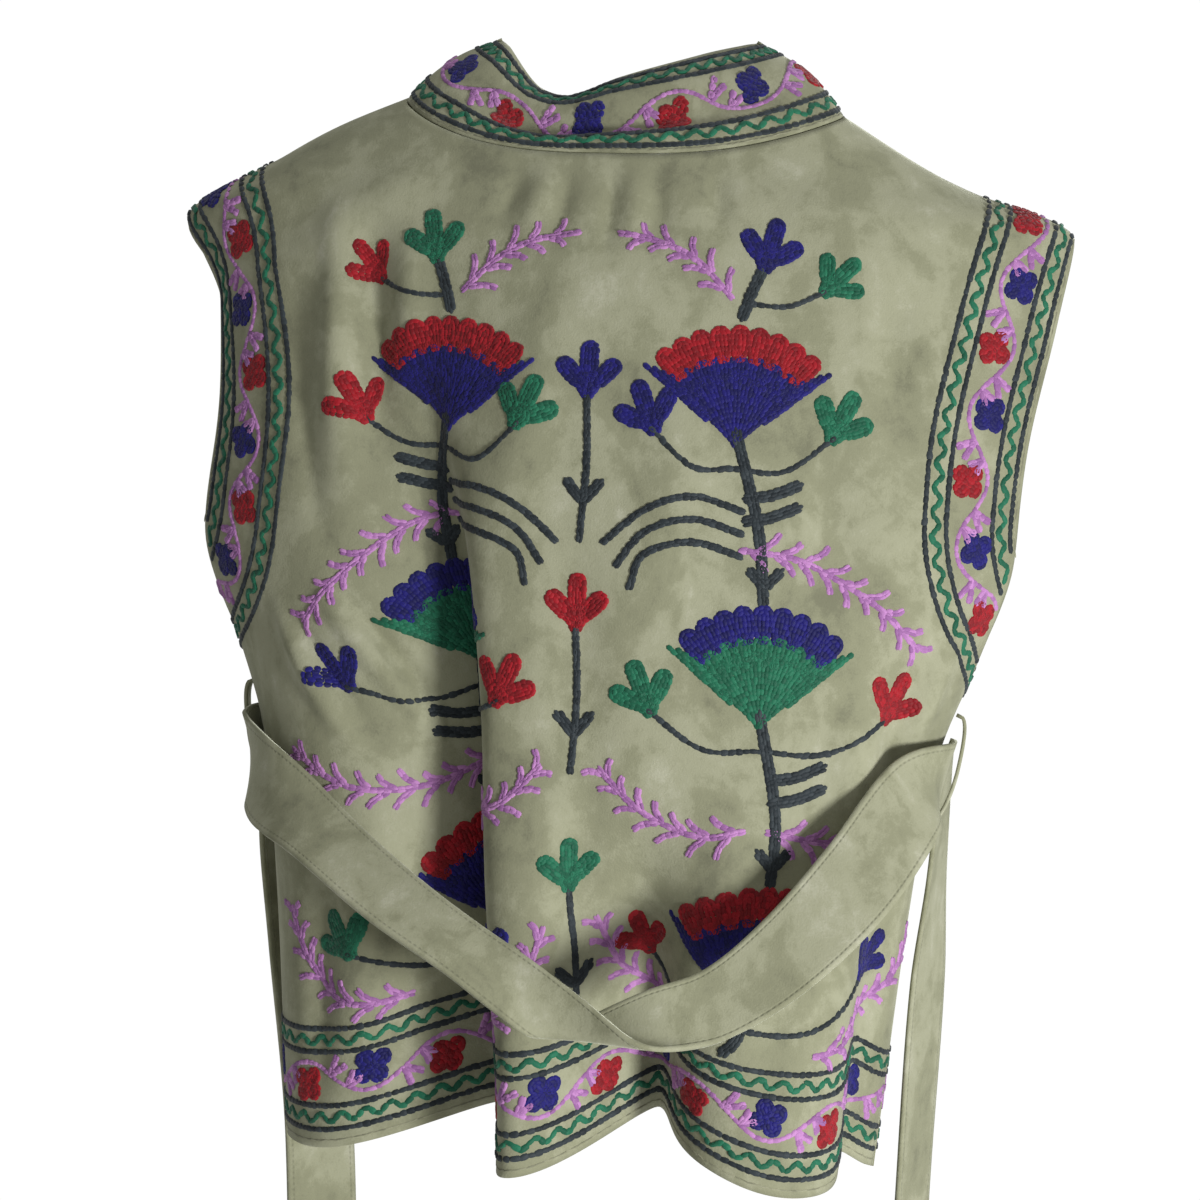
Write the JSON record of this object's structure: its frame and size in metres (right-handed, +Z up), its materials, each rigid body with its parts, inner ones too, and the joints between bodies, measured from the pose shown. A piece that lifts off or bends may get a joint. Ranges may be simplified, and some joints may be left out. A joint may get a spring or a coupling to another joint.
{
  "type": "embroidered velvet waistcoat with tie belt",
  "caption": "Sleeveless velvet waistcoat, filled out as worn: folk embroidery, stand-up neck band running down the fronts, and a tie belt in side loops.",
  "frame": {"origin": "midway between the two points where the shoulder seams meet the neck band, where a wearer's neck holds the garment", "axes": "+Z up, -Y the wearer's back, +X the wearer's right"},
  "size_m": [0.5168, 0.2943, 0.867],
  "materials": {
    "velvet": "sage green velvet with mottled nap and chain-stitch embroidery",
    "band_velvet": "sage green velvet band with chain-stitch embroidery",
    "belt_velvet": "plain sage green velvet, topstitched"
  },
  "bodies": {
    "root": {"back_panel": "velvet", "front_left": "velvet", "front_right": "velvet", "collar": "band_velvet", "front_band_left": "band_velvet", "front_band_right": "band_velvet", "belt": "belt_velvet", "belt_loop_left": "belt_velvet", "belt_loop_right": "belt_velvet"}
  },
  "joints": []
}
